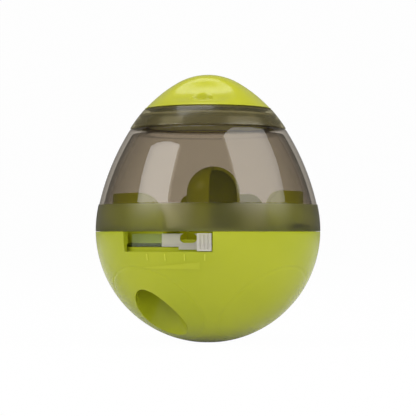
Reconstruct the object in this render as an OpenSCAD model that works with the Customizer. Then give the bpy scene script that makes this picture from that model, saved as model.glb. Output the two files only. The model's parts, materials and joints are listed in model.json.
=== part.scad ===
// Treat-dispensing tumbler in the shape of an egg.
// A green bowl with a steel weight at its foot carries a maze tray, a sliding
// shutter and a clear smoky dome, and a screwed lid closes the neck.
// Up is +Z, the origin is the middle of the foot, and the control window
// faces -Y. Azimuths are measured from -Y towards +X. Sizes are in millimetres.

/* [Outer form] */
// Radius of the round lower half
ball_r = 50; // [45:0.5:60]
// Radius of the flat spot that it stands on
foot_r = 5.5; // [4:0.5:8]
// Elevation where the round half turns into the long side arc
ball_end = 12; // [8:1:16]
// Radius of the long side arc, as a multiple of the round half's
side_share = 2.12; // [2:0.01:2.3]
// Elevation where the side arc turns into the shoulder arc
side_end = 33; // [30:1:36]
// Radius of the shoulder arc, as a multiple of the round half's
shoulder_share = 1.26; // [1.22:0.01:1.34]
// Elevation where the shoulder arc turns into the crown
shoulder_end = 58.5; // [56:0.5:61]

/* [Bowl] */
// Wall of the bowl
bowl_wall = 2.5; // [2:0.1:3]
// Top of the rim below the widest level
rim_drop = 0.7; // [0.5:0.1:1.5]
// Height of the spigot that centres the dome
spigot_h = 1.4; // [1:0.1:1.8]
// Distance of the spigot's outer face from the skin
spigot_inset = 1.9; // [1.7:0.1:2]
// Thickness of the spigot
spigot_wall = 1.1; // [1:0.1:1.1]
// Gap between the spigot and the dome
spigot_gap = 0.4; // [0.3:0.1:0.6]
// Depth of the ledge's top below the rim
ledge_drop = 6.6; // [6.2:0.1:7]
// Thickness of the ledge at its inner edge
ledge_t = 2.4; // [2:0.1:3]
// How far the ledge reaches in from the skin
ledge_reach = 7.4; // [7.1:0.1:7.8]
// Radius of the weight's centre post
post_r = 8; // [7:0.5:9]
// Radius of the pin that the shutter turns on
pin_r = 5; // [4:0.5:6]

/* [Window and marks] */
// Left edge of the window, azimuth
window_left = -46; // [-50:1:-44]
// Right edge of the window, azimuth
window_right = 2.2; // [2:0.1:4]
// Depth of the window below the rim
window_h = 8.5; // [8.2:0.1:9]
// Depth of the window's cut into the wall
window_depth = 3.1; // [2.8:0.1:3.3]
// Distance between the tick marks, azimuth
tick_step = 10; // [8:1:12]
// Number of tick marks
tick_count = 4; // [3:1:5]
// Height of a tick mark
tick_h = 2.8; // [2:0.1:4]
// Width of a tick mark
tick_w = 0.5; // [0.4:0.1:0.8]
// How far the marks stand proud
mark_proud = 0.3; // [0.2:0.1:0.5]
// Height of the wedge mark at its thick end
wedge_h = 3.1; // [2:0.1:4]
// Depth of the wedge mark's upper edge below the sill
wedge_drop = 4.2; // [3.8:0.1:5]
// How far the wedge's point lies below its upper edge
wedge_fall = 2.7; // [2:0.1:3]
// Sideways place of the wedge's point
wedge_left = 30.6; // [28:0.1:32]
// Sideways place of the wedge's thick end
wedge_right = 3.4; // [3:0.1:5]
// Angular radius of the moulded circles
circle_angle = 26.5; // [22:0.5:28]
// Azimuth of the first moulded circle
circle_azimuth = -42; // [-50:1:-35]
// Half width of the groove that draws a circle
circle_groove = 0.35; // [0.2:0.05:0.5]

/* [Chute] */
// Distance of the chute's middle from the skin's widest level
chute_inset = 18.5; // [18:0.1:19]
// Azimuth of the chute
chute_azimuth = -39; // [-41:1:-37]
// Radius of the chute's bore
chute_r = 10.2; // [9.8:0.1:10.6]
// Wall of the chute
chute_wall = 1.6; // [1.2:0.1:1.8]

/* [Weight] */
// Gap between the weight and the chute
weight_side_gap = 1.4; // [1.2:0.1:3]
// Height of the steel weight
weight_h = 20; // [14:0.5:22]
// Gap between the weight and the centre post
weight_gap = 0.5; // [0.3:0.1:1]
// Thickness of the cover over the weight
cover_t = 2; // [1.5:0.1:3]
// Distance of the cover's screws outside the weight
cover_screw_out = 5.7; // [5:0.1:7]
// Length of the cover's screws under the head
cover_screw_l = 10; // [8:0.5:12]

/* [Shutter] */
// Thickness of the shutter's disc
shutter_t = 1.2; // [1:0.1:1.4]
// Running gap above and below the disc
shutter_gap = 0.2; // [0.2:0.05:0.35]
// Distance of the disc's edge from the skin
shutter_inset = 9.2; // [9:0.1:9.5]
// Distance of the ring in the window from the skin
ring_inset = 3.4; // [3.3:0.05:3.6]
// Thickness of the ring
ring_wall = 1.2; // [1:0.1:1.4]
// Height of the ring, from the underside of the disc
ring_h = 5.5; // [5:0.1:5.6]
// Left end of the ring, azimuth
ring_left = -44; // [-45:0.5:-42]
// Right end of the ring, azimuth
ring_right = 46; // [44:0.5:50]
// Radius of the port in the disc
port_r = 9.8; // [9:0.1:10]
// Middle of the tab, azimuth
tab_azimuth = -1.85; // [-3:0.05:-1.8]
// Width of the tab
tab_w = 6.1; // [5:0.1:6.4]
// Height of the tab
tab_h = 7.4; // [6:0.1:7.6]
// Distance of the tab's face from the skin
tab_inset = 0.5; // [0.4:0.1:1.5]
// Number of grip grooves on the tab
tab_grooves = 3; // [2:1:4]
// Angle that closes the shutter
shutter_travel = 40; // [36:1:40]
// Length of the toothed foot beside the tab, azimuth
foot_span = 10; // [8:1:12]
// Distance of the slot in the ring from the tab, azimuth
slot_turn = 8.3; // [7:0.1:10]
// Height of the slot's middle above the disc
slot_z = 2.4; // [2.2:0.1:2.6]
// Radius of the slot's ends
slot_r = 2; // [1.4:0.1:2]
// Half the straight length of the slot
slot_half = 1.7; // [1:0.1:2.5]

/* [Maze tray] */
// Distance of the tray's edge from the skin
tray_inset = 7.5; // [7.4:0.1:8]
// Thickness of the tray's floor
tray_t = 1.5; // [1.2:0.1:2]
// Wall of the curved fences
fence_wall = 1.5; // [1.2:0.1:2]
// Radius of the port in the tray's floor
tray_port_r = 9.3; // [8.5:0.1:9.5]
// Outer radius of the hood
hood_r = 12; // [10:0.5:13]
// Wall of the hood
hood_wall = 1.4; // [1.2:0.1:2]
// Height of the hood above the tray's underside
hood_h = 34.3; // [28:0.1:36]
// Sideways place of the hood
hood_x = 2.4; // [0:0.1:4]
// Place of the hood behind the axis
hood_y = 8; // [6:0.5:12]
// Distance of the tray's screws from the skin
tray_screw_inset = 6.1; // [5.9:0.1:6.5]
// How deep the tray's screws bite into their bosses
tray_screw_bite = 7; // [5:0.5:8]

/* [Dome] */
// Wall of the dome
dome_wall = 2; // [1.6:0.1:2.2]
// Gap at the seam between bowl and dome
dome_gap = 0.4; // [0.3:0.1:0.6]
// Height of the frosted band above the rim
band_h = 12.2; // [11:0.1:14]
// Step at the top of the frosted band
band_step = 0.3; // [0.2:0.1:0.5]
// Level of the lid's seam above the ball's centre, as a share of the whole height above it
seam_share = 0.643; // [0.62:0.001:0.66]
// Distance of the neck's outer face from the skin at the seam
neck_inset = 5.5; // [5:0.1:6]
// Wall of the neck
neck_wall = 2; // [1.8:0.1:2.2]
// Height of the neck above the shoulder
neck_h = 5.6; // [5:0.1:6]
// Angle that unlocks the dome
dome_travel = 25; // [20:1:28]
// Half the width of the three bayonet tongues, azimuth
tongue_half = 6; // [5:0.5:7]
// Thickness of the tongues
tongue_wall = 1.4; // [1.2:0.1:1.6]
// Depth of the tongues below the rim
tongue_drop = 4.4; // [4:0.1:5]

/* [Lid] */
// Gap at the seam between dome and lid
lid_gap = 0.4; // [0.3:0.1:0.6]
// Height of the smoky ring
lid_ring_h = 8.4; // [8:0.1:9]
// Gap between the neck and the ring's bore
thread_gap = 0.8; // [0.6:0.1:1]
// Thickness of the ring's web
web_t = 1.7; // [1.4:0.1:2]
// How far the ring's web reaches in from the neck
web_reach = 4.9; // [4.5:0.1:5.1]
// Wall of the cap
cap_wall = 2; // [1.6:0.1:2.4]
// Radius of the finger scoops
scoop_r = 15; // [13:0.5:16]
// Half the straight length of a scoop
scoop_half = 8; // [4:0.1:9]
// Depth of a scoop
scoop_depth = 3.6; // [2.5:0.1:4]
// Azimuth of the front scoop
scoop_azimuth = -8; // [-20:1:20]
// Depth of a scoop's middle below the top
scoop_drop = 6.6; // [6:0.1:7.5]
// Angle of the crown's face at a scoop's middle
scoop_slope = 51; // [48:1:54]
// Radius of the half-round pocket at the foot of a scoop
pocket_r = 4.6; // [4:0.1:4.8]
// Distance of a pocket's middle from the axis
pocket_at = 20.1; // [19.8:0.1:20.4]
// Depth of a pocket's floor below the top
pocket_drop = 12.5; // [12.2:0.1:12.6]
// Wall round a pocket
pocket_wall = 1.4; // [1.2:0.1:1.6]
// Thickness of the plate under the lid
plate_t = 2.2; // [2:0.1:2.6]
// Thickness of the seal
seal_t = 0.7; // [0.5:0.1:0.7]
// Distance of the lid's screws inside the neck
lid_screw_inset = 9; // [8.7:0.1:10.5]
// Length of the lid's screws under the head
lid_screw_l = 9; // [7:0.5:10]

/* [Screws] */
// Diameter of the screws
screw_d = 2.4; // [2:0.1:3]
// Extra width of the screws' holes
screw_gap = 0.1; // [0.1:0.05:0.3]
// Diameter of the screw heads
head_d = 4.8; // [4:0.1:5]
// Height of the screw heads
head_h = 1.2; // [1:0.1:1.4]
// Radius of the screw bosses
boss_r = 3.2; // [2.8:0.1:3.4]

/* [Hidden] */
$fn = 96;
// Small overlap that lets cuts pass clean through
eps = 0.5;

// Level of the sphere's centre, set by the flat spot
centre_z = sqrt(ball_r * ball_r - foot_r * foot_r);
side_r = ball_r * side_share;
shoulder_r = ball_r * shoulder_share;
bowl_in = ball_r - bowl_wall;
ledge_in = ball_r - ledge_reach;
window_in = ball_r - window_depth;
chute_at = ball_r - chute_inset;
rim_z = centre_z - rim_drop;
ledge_z = rim_z - ledge_drop;
sill_z = rim_z - window_h;

// Centres of the profile's arcs, from the sphere's centre, as [radius, height]
function unit(a) = [cos(a), sin(a)];
side_c = (ball_r - side_r) * unit(ball_end);
shoulder_c = side_c + (side_r - shoulder_r) * unit(side_end);
crown_gap = -shoulder_c[0] / cos(shoulder_end);
crown_r = shoulder_r - crown_gap;
crown_c = [0, shoulder_c[1] + crown_gap * sin(shoulder_end)];

// Radius of the egg at a height, for a skin set in by some depth
function arc_at(c, r, h) = c[0] + sqrt(max(r * r - (h - c[1]) * (h - c[1]), 0));
function egg_at(z, inset = 0) =
    let (h = z - centre_z)
    h < (ball_r - inset) * sin(ball_end) ? arc_at([0, 0], ball_r - inset, h)
    : h < side_c[1] + (side_r - inset) * sin(side_end) ? arc_at(side_c, side_r - inset, h)
    : h < shoulder_c[1] + (shoulder_r - inset) * sin(shoulder_end)
        ? arc_at(shoulder_c, shoulder_r - inset, h)
    : arc_at(crown_c, crown_r - inset, h);
// Points of the egg's outline between two heights
function egg_points(low, high, inset = 0, steps = 12) =
    [for (i = [0 : steps]) let (z = low + (high - low) * i / steps) [egg_at(z, inset), z]];
function backwards(list) = [for (i = [len(list) - 1 : -1 : 0]) list[i]];
// Points along an arc, from one angle to another
function arc_points(c, r, from, to, steps) =
    [for (i = [0 : steps]) c + r * unit(from + (to - from) * i / steps)];

// Spigot of the bowl
spigot_top = rim_z + spigot_h;
spigot_out = ball_r - spigot_inset;
spigot_in = spigot_out - spigot_wall;

// Bayonet: three tongues, welded inside the dome's foot, hang inside the bowl, and their lugs
// lie in slots in the bowl's wall
tongue_azimuths = [58, 145, 222];
tongue_out = spigot_in - 0.3;
tongue_in = tongue_out - tongue_wall;
tongue_z = rim_z - tongue_drop;
tongue_top = spigot_top + spigot_gap + 1.4;
lug_half = 4;
lug_h = 1.8;
lug_out = spigot_out - 0.3;
lug_gap = 0.3;
groove_side = 1;

// Shutter
shutter_r = ball_r - shutter_inset;
ring_r = ball_r - ring_inset;
tab_r = ball_r - tab_inset;
shutter_z = ledge_z + shutter_gap;
shutter_top = shutter_z + shutter_t;
tab_z = sill_z + 0.4;
tab_play = 0.15;
foot_drop = 1.2;
foot_r_out = ring_r + 0.9;

// Tray
tray_r = ball_r - tray_inset;
tray_screw_at = ball_r - tray_screw_inset;
tray_z = shutter_top + shutter_gap + 0.1;
tray_top = tray_z + tray_t;
hood_open = 100;
// Fences: middle azimuth, half width, height above the floor, left and right corner radius
fences = [[-54.5, 20, 20, 4, 13], [63, 18.5, 21, 8, 8], [169.5, 20, 21, 8, 5]];
ear_azimuths = [116, 207, 262];
ear_r = 2.4;

// Weight
weight_r = chute_at - chute_r - chute_wall - weight_side_gap;
cover_screw_at = weight_r + cover_screw_out;
seat_z = centre_z - sqrt(bowl_in * bowl_in - weight_r * weight_r) + 0.3;
weight_in = post_r + weight_gap;
cover_z = seat_z + weight_h;
cover_azimuths = [for (i = [1 : 3]) chute_azimuth + 90 * i];

// Dome
dome_z = rim_z + dome_gap;
band_top = rim_z + band_h;
egg_top = centre_z + crown_c[1] + crown_r;
dome_top = centre_z + seam_share * (egg_top - centre_z);
dome_inset = band_step + dome_wall;
foot_in = spigot_out + spigot_gap;
tongue_weld = 0.06;
tongue_root = egg_at(tongue_top, dome_inset) - tongue_weld;
neck_out = egg_at(dome_top) - neck_inset;
neck_in = neck_out - neck_wall;
neck_top = dome_top + neck_h;
shoulder_t = dome_wall + 0.2;

// Lid
lid_z = dome_top + lid_gap;
ring_bore = neck_out + thread_gap;
web_z = neck_top + seal_t + 0.2;
web_top = web_z + web_t;
lid_ring_top = lid_z + lid_ring_h;
cap_z = lid_ring_top + 0.3;
skirt_out = egg_at(lid_ring_top) - 2.8;
skirt_t = 1.7;
web_in = neck_in - web_reach;
plate_r = neck_in - 1.1;
plate_rim_t = 1.5;
plate_z = lid_z + 0.5;
plate_top = plate_z + plate_t;
recess_h = head_h + 0.1;
lid_boss_z = plate_top + 0.1;
lid_screw_at = neck_in - lid_screw_inset;
lid_screw_azimuths = [30, 150, 270];
// Where the scoops bite: a point on the crown's slope and the normal there
scoop_foot = [egg_at(egg_top - scoop_drop), egg_top - scoop_drop];
scoop_axis = scoop_foot + (scoop_r - scoop_depth) * unit(scoop_slope);

smoke = [0.33, 0.31, 0.26, 0.55];
green = [0.69, 0.71, 0.17];
clear_grey = [0.72, 0.7, 0.68, 0.8];
steel = [0.6, 0.6, 0.62];
seal_grey = [0.75, 0.75, 0.72];

// Puts a child that is drawn on -Y at an azimuth
module at(azimuth) rotate([0, 0, azimuth]) children();

// Part of a ring, from one azimuth to another
module ring_part(r_in, r_out, low, high, from, to)
    rotate([0, 0, from - 90]) rotate_extrude(angle = to - from)
        translate([r_in, low]) square([r_out - r_in, high - low]);

module ring(r_in, r_out, low, high)
    rotate_extrude() translate([r_in, low]) square([r_out - r_in, high - low]);

// Upright cylinder at an azimuth and a distance from the axis
module pin_at(azimuth, distance, r, low, high)
    at(azimuth) translate([0, -distance, low]) cylinder(r = r, h = high - low);

module slab(low, high)
    translate([-2 * ball_r, -2 * ball_r, low]) cube([4 * ball_r, 4 * ball_r, high - low]);

module screw(azimuth, distance, z, length, up = 1) {
    pin_at(azimuth, distance, head_d / 2, up > 0 ? z : z - head_h, up > 0 ? z + head_h : z);
    pin_at(azimuth, distance, screw_d / 2, up > 0 ? z - length : z - eps / 2,
           up > 0 ? z + eps / 2 : z + length);
}

module bowl_shell() intersection() {
    translate([0, 0, centre_z]) difference() {
        sphere(r = ball_r);
        sphere(r = bowl_in);
    }
    slab(0, rim_z);
}

// Everything that stands inside the bowl, cut to its inner wall
module bowl_inside() intersection() {
    translate([0, 0, centre_z]) sphere(r = bowl_in + bowl_wall / 2);
    union() {
        pin_at(chute_azimuth, chute_at, chute_r + chute_wall, 0, ledge_z);
        cylinder(r = post_r, h = ledge_z);
        cylinder(r = pin_r, h = tray_z);
        ring(post_r + 2, weight_r - 2, 0, seat_z);
        for (a = cover_azimuths) pin_at(a, cover_screw_at, boss_r, 0, cover_z);
        for (a = ear_azimuths)
            pin_at(a, tray_screw_at, boss_r, ledge_z - tray_screw_bite - 3, ledge_z - ledge_t / 2);
        rotate_extrude() polygon([[ledge_in, ledge_z], [ball_r, ledge_z],
            [ball_r, ledge_z - 2 * ledge_t - ball_r + ledge_in],
            [ledge_in, ledge_z - ledge_t]]);
    }
}

// Slots in the bowl's wall: a level groove for each lug, and the way in from above
module bayonet_slots() for (a = tongue_azimuths) {
    ring_part(tongue_out, spigot_out, tongue_z - lug_gap, tongue_z + lug_h + lug_gap,
              a - lug_half - groove_side, a + lug_half + dome_travel + groove_side);
    ring_part(tongue_out - lug_gap / 4, spigot_out + eps / 4, tongue_z + lug_h / 2,
              spigot_top + eps, a - lug_half + dome_travel - groove_side,
              a + lug_half + dome_travel + groove_side / 2);
}

module moulded_circles() for (i = [0 : 3])
    translate([0, 0, centre_z]) rotate([0, 0, circle_azimuth + 90 * i]) rotate([135, 0, 0])
        rotate_extrude() translate(ball_r * unit(90 - circle_angle))
            rotate(45 - circle_angle) square(2 * circle_groove, center = true);

module tick_marks() intersection() {
    translate([0, 0, centre_z]) sphere(r = ball_r + mark_proud);
    for (i = [0 : tick_count - 1]) at(tab_azimuth + 0.3 - tick_step * i)
        translate([-tick_w / 2, -ball_r - 1, sill_z - 0.8 - tick_h]) cube([tick_w, 4, tick_h]);
}

// Wedge that shows which way opens the shutter
module wedge_mark() intersection() {
    translate([0, 0, centre_z]) sphere(r = ball_r + mark_proud);
    translate([0, -0.6 * ball_r, 0]) rotate([90, 0, 0]) linear_extrude(height = 0.5 * ball_r)
        let (top = sill_z - wedge_drop)
            polygon([[-wedge_left, top - wedge_fall], [-wedge_right, top - wedge_h],
                     [-wedge_right, top]]);
}

module bowl() color(green) difference() {
    union() {
        bowl_shell();
        bowl_inside();
        ring(spigot_in, spigot_out, rim_z - eps, spigot_top);
        difference() {
            union() {
                tick_marks();
                wedge_mark();
            }
            translate([0, 0, centre_z]) sphere(r = ball_r - 1);
        }
    }
    pin_at(chute_azimuth, chute_at, chute_r, -1, ledge_z + eps);
    ring_part(window_in, ball_r + 1, sill_z, rim_z, window_left, window_right);
    // Groove in the wall that lets the toothed foot swing past the window
    ring_part(ring_r - 0.1, foot_r_out + 0.3, ledge_z - foot_drop - 0.3, ledge_z + 1.4,
              tab_azimuth - shutter_travel - foot_span - 12, tab_azimuth + 1);
    bayonet_slots();
    moulded_circles();
    for (a = cover_azimuths)
        pin_at(a, cover_screw_at, (screw_d + screw_gap) / 2, cover_z - cover_screw_l - 1, cover_z + 1);
    for (a = ear_azimuths)
        pin_at(a, tray_screw_at, (screw_d + screw_gap) / 2, ledge_z - tray_screw_bite - 2, ledge_z + 1);
}

module weight() color(steel) rotate_extrude() polygon([
    [weight_in, seat_z], [weight_r - 1, seat_z], [weight_r, seat_z + 1],
    [weight_r, cover_z - 1], [weight_r - 1, cover_z], [weight_in, cover_z]]);

module weight_cover() color(seal_grey) difference() {
    union() {
        cylinder(r = weight_r, h = cover_t);
        for (a = cover_azimuths) at(a) {
            translate([-boss_r, -cover_screw_at, 0]) cube([2 * boss_r, cover_screw_at, cover_t]);
            translate([0, -cover_screw_at, 0]) cylinder(r = boss_r, h = cover_t);
        }
    }
    translate([0, 0, -1]) cylinder(r = weight_in, h = cover_t + 2);
    for (a = cover_azimuths)
        pin_at(a, cover_screw_at, (screw_d + screw_gap) / 2, -1, cover_t + 1);
}

module weight_screws() color(steel)
    for (a = cover_azimuths) screw(a, cover_screw_at, cover_z + cover_t, cover_screw_l);

module shutter_slot() at(tab_azimuth - slot_turn)
    translate([0, -ring_r + 3 * ring_wall, shutter_top + slot_z])
        rotate([90, 0, 0]) linear_extrude(height = 6 * ring_wall)
            hull() for (x = [-slot_half, slot_half])
                translate([x, 0]) circle(r = slot_r, $fn = 32);

// The tab stands in the window, and its root reaches over the ledge into the ring
module shutter_tab() at(tab_azimuth) difference() {
    union() {
        translate([-tab_w / 2, -tab_r, tab_z])
            cube([tab_w, tab_r - window_in - tab_play, tab_h]);
        translate([-tab_w / 2, -window_in - 3 * tab_play, shutter_z + tab_play])
            cube([tab_w, window_in + 3 * tab_play - ring_r + ring_wall / 2,
                  tab_z + tab_h - shutter_z - 2 * tab_play]);
    }
    for (i = [0 : tab_grooves - 1])
        translate([(i - (tab_grooves - 1) / 2) * tab_w / (tab_grooves + 1), -tab_r, tab_z + 0.8])
            cylinder(r = 0.45, h = tab_h - 1.6, $fn = 24);
}

module shutter() color(clear_grey) {
    difference() {
        union() {
            translate([0, 0, shutter_z]) cylinder(r = shutter_r, h = shutter_t);
            ring_part(shutter_r - 1, ring_r, shutter_z, shutter_top, ring_left, ring_right);
            ring_part(ring_r - ring_wall, ring_r, shutter_z, shutter_z + ring_h,
                      ring_left, ring_right);
            // Toothed foot: a bridge out of the ring, and a strip that hangs before the ledge
            ring_part(ring_r - ring_wall / 2, foot_r_out - 0.1, shutter_z + 0.1, shutter_z + 0.8,
                      tab_azimuth - foot_span - 8, tab_azimuth);
            ring_part(window_in + 0.1, foot_r_out, shutter_z - foot_drop + 0.1, shutter_z + 0.7,
                      tab_azimuth - foot_span - 3, tab_azimuth);
            shutter_tab();
        }
        pin_at(0, 0, pin_r + shutter_gap, shutter_z - 1, shutter_top + 1);
        pin_at(chute_azimuth, chute_at, port_r, shutter_z - 1, shutter_top + 1);
        shutter_slot();
        // Gaps between the fine teeth of the foot
        for (i = [0 : foot_span - 3]) at(tab_azimuth - 5 - i)
            translate([-0.15, -foot_r_out - 0.3, shutter_z - foot_drop - 1])
                cube([0.3, 0.5, foot_drop + 1.5]);
    }
}

// Outline with two rounded top corners, as wide as given and standing on zero
function gate_points(half, height, left, right) = concat(
    [[-half, 0], [half, 0]],
    arc_points([half - right, height - right], right, 0, 90, 8),
    arc_points([-half + left, height - left], left, 90, 180, 8));

module fence(f) intersection() {
    ring(tray_r - fence_wall, tray_r, tray_z, tray_top + f[2]);
    at(f[0]) translate([0, -0.4 * tray_r, tray_top - 1]) rotate([90, 0, 0])
        linear_extrude(height = 0.7 * tray_r)
            polygon(gate_points(f[1], f[2] + 1, f[3], f[4]));
}

// Round-topped hood, a revolved wall that is open towards the front right
module hood() translate([hood_x, hood_y, 0])
    rotate_extrude(angle = 360 - hood_open)
        let (bend_z = tray_z + hood_h - hood_r, r_in = hood_r - hood_wall)
            polygon(concat(
                [[r_in, tray_z], [hood_r, tray_z]],
                arc_points([0, bend_z], hood_r, 0, 90, 12),
                backwards(arc_points([0, bend_z], r_in, 0, 90, 12))));

module maze_tray() color(green) difference() {
    union() {
        translate([0, 0, tray_z]) cylinder(r = tray_r, h = tray_t);
        for (a = ear_azimuths) {
            pin_at(a, tray_screw_at, ear_r, ledge_z, tray_top);
        }
        for (f = fences) fence(f);
        hood();
    }
    pin_at(chute_azimuth, chute_at, tray_port_r, tray_z - 1, tray_top + 1);
    for (a = ear_azimuths)
        pin_at(a, tray_screw_at, (screw_d + screw_gap) / 2, ledge_z - 1, tray_top + 1);
}

module tray_screws() color(steel)
    for (a = ear_azimuths) screw(a, tray_screw_at, tray_top, tray_top - ledge_z + tray_screw_bite);

module dome() color(smoke) rotate_extrude() polygon(concat(
    [[foot_in, dome_z]],
    egg_points(dome_z, band_top - band_step, 0, 4),
    egg_points(band_top, dome_top, band_step, 16),
    [[neck_out, dome_top], [neck_out, neck_top - 0.4], [neck_out - 0.4, neck_top],
     [neck_in, neck_top], [neck_in, dome_top - shoulder_t]],
    backwards(egg_points(spigot_top + spigot_gap, dome_top - shoulder_t, dome_inset, 18)),
    [[foot_in, spigot_top + spigot_gap]]));

// Each tongue has a root at the dome's wall and a lug that holds the dome down on the bowl
module bayonet_tongues() color(smoke) for (a = tongue_azimuths) {
    ring_part(tongue_in, tongue_root, spigot_top + 1.5 * spigot_gap, tongue_top,
              a - tongue_half, a + tongue_half);
    ring_part(tongue_in, tongue_out, tongue_z, tongue_top - eps / 2,
              a - tongue_half, a + tongue_half);
    ring_part(tongue_out - eps, lug_out, tongue_z + lug_gap / 4, tongue_z + lug_h,
              a - lug_half, a + lug_half);
}

module lid_ring() color(smoke) rotate_extrude() polygon(concat(
    [[ring_bore, lid_z], [ring_bore + 1.4, lid_z], [ring_bore + 1.4, lid_z + 3.6],
     [ring_bore + 1.7, lid_z + 3.6], [egg_at(lid_z) - 1.9, lid_z]],
    egg_points(lid_z, lid_ring_top, 0, 4),
    [[skirt_out + 0.2, lid_ring_top], [skirt_out + 0.2, web_top], [web_in, web_top],
     [web_in, web_z], [ring_bore, web_z]]));

// The rounded tool that bites the scoops out of the cap
module scoops(extra = 0) for (side = [0, 180])
    rotate([0, 0, scoop_azimuth + side]) hull() for (x = [-scoop_half, scoop_half])
        translate([x, -scoop_axis[0], scoop_axis[1]]) sphere(r = scoop_r + extra, $fn = 36);

// The upright pocket at the foot of each scoop, grown all round by some wall
module pockets(wall = 0) for (side = [0, 180])
    pin_at(scoop_azimuth + side, pocket_at, pocket_r + wall, egg_top - pocket_drop - wall,
           egg_top);

// Solid crown of the egg above a level, set in by some depth
module crown(low, inset) rotate_extrude() polygon(concat(
    [[0, low]], egg_points(low, egg_top - inset - 0.6, inset, 10), [[0, egg_top - inset]]));

module lid_cap() color(green) difference() {
    union() {
        difference() {
            crown(cap_z, 0);
            difference() {
                crown(cap_z - eps, cap_wall);
                scoops(cap_wall);
            }
        }
        ring(skirt_out - skirt_t, skirt_out, web_top + 0.1, cap_z + 1);
        intersection() {
            union() {
                for (a = lid_screw_azimuths)
                    pin_at(a, lid_screw_at, boss_r, lid_boss_z, egg_top);
                pockets(pocket_wall);
            }
            crown(plate_z, cap_wall / 2);
        }
    }
    scoops();
    pockets();
    for (a = lid_screw_azimuths)
        pin_at(a, lid_screw_at, (screw_d + screw_gap) / 2, plate_top - 1,
               plate_z + recess_h + lid_screw_l + 1);
}

module lid_plate() color(green) difference() {
    union() {
        translate([0, 0, plate_z]) cylinder(r = plate_r, h = plate_t);
        ring(plate_r - plate_rim_t, plate_r, plate_z, web_z - 0.1);
    }
    for (a = lid_screw_azimuths) {
        pin_at(a, lid_screw_at, (screw_d + screw_gap) / 2, plate_z - 1, plate_top + 1);
        pin_at(a, lid_screw_at, head_d / 2 + 0.2, plate_z - 1, plate_z + recess_h);
    }
}

module lid_screws() color(steel)
    for (a = lid_screw_azimuths) screw(a, lid_screw_at, plate_z + recess_h, lid_screw_l, -1);

module lid_seal() color(seal_grey)
    ring(neck_in + 0.1, neck_out + 0.4, neck_top + 0.1, neck_top + 0.1 + seal_t);

bowl();
weight();
translate([0, 0, cover_z]) weight_cover();
weight_screws();
shutter();
maze_tray();
tray_screws();
dome();
bayonet_tongues();
lid_ring();
lid_cap();
lid_plate();
lid_screws();
lid_seal();
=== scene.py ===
# %% [markdown]
# # A treat tumbler, dressed for its portrait
# The model is a pet toy in the shape of an egg: a green bowl that rocks on a weight, a smoky
# dome, a frosted ring and a green cap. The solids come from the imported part, and this script
# gives them smooth surfaces, finishes, a floor, lamps and a camera. Cells build one piece each.

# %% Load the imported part
import json
import math

import bmesh
import bpy
import numpy as np
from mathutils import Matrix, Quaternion, Vector


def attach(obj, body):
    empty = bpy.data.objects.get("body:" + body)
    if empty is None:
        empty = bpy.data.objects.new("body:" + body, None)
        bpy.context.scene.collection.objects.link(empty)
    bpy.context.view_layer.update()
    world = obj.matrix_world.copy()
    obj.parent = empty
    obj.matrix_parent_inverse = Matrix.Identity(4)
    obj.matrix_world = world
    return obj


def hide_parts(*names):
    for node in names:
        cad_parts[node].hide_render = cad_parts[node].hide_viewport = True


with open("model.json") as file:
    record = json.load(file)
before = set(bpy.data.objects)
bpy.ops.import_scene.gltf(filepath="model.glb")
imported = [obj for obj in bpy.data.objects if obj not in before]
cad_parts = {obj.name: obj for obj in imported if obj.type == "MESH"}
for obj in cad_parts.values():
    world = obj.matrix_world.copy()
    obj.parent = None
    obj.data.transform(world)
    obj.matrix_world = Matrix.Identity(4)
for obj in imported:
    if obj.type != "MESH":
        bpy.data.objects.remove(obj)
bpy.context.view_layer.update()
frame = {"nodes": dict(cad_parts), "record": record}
MM = 0.001
print("pieces of the part:", sorted(frame["nodes"]))

# %% [markdown]
# ## Sizes
# The egg's outline is four arcs that meet without a kink. The same few radii and angles that
# drive the solids are repeated here in millimetres, so every new surface lies on its solid.

# %% Sizes of the egg, in millimetres
BALL_R, FOOT_R = 50.0, 5.5
BALL_END, SIDE_END, SHOULDER_END = np.radians([12.0, 33.0, 58.5])
SIDE_R, SHOULDER_R = 106.0, 63.0
CENTRE_Z = math.sqrt(BALL_R ** 2 - FOOT_R ** 2)


def unit(angle):
    """Direction in the plane of radius and height: cosine outwards, sine upwards."""
    return np.array([math.cos(angle), math.sin(angle)])


SIDE_C = (BALL_R - SIDE_R) * unit(BALL_END)
SHOULDER_C = SIDE_C + (SIDE_R - SHOULDER_R) * unit(SIDE_END)
CROWN_GAP = -SHOULDER_C[0] / math.cos(SHOULDER_END)
CROWN_R = SHOULDER_R - CROWN_GAP
CROWN_Z = CENTRE_Z + SHOULDER_C[1] + CROWN_GAP * math.sin(SHOULDER_END)
EGG_TOP = CROWN_Z + CROWN_R

RIM_Z = CENTRE_Z - 0.7
SILL_Z = RIM_Z - 8.5
TICKS_Z = SILL_Z - 3.9
LEDGE_Z = RIM_Z - 6.6
WINDOW_LEFT, WINDOW_RIGHT = -46.0, 2.2
CHUTE_AT, CHUTE_AZIMUTH, CHUTE_R = 31.5, -39.0, 10.2
SPIGOT_R, SPIGOT_TOP = BALL_R - 1.9, RIM_Z + 1.4
DOME_Z = RIM_Z + 0.4
BAND_TOP = RIM_Z + 12.2
DOME_TOP = CENTRE_Z + 0.643 * (EGG_TOP - CENTRE_Z)
DOME_WALL, BAND_STEP = 2.0, 0.3
SEAM_ROUND, FOOT_DROP = 0.12, 0.3
LID_Z = DOME_TOP + 0.4
LID_RING_TOP = LID_Z + 8.4
CAP_Z = LID_RING_TOP + 0.3
print(f"egg: {2 * BALL_R:.1f} mm across, {EGG_TOP:.1f} mm tall, rim at {RIM_Z:.1f} mm")


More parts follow.
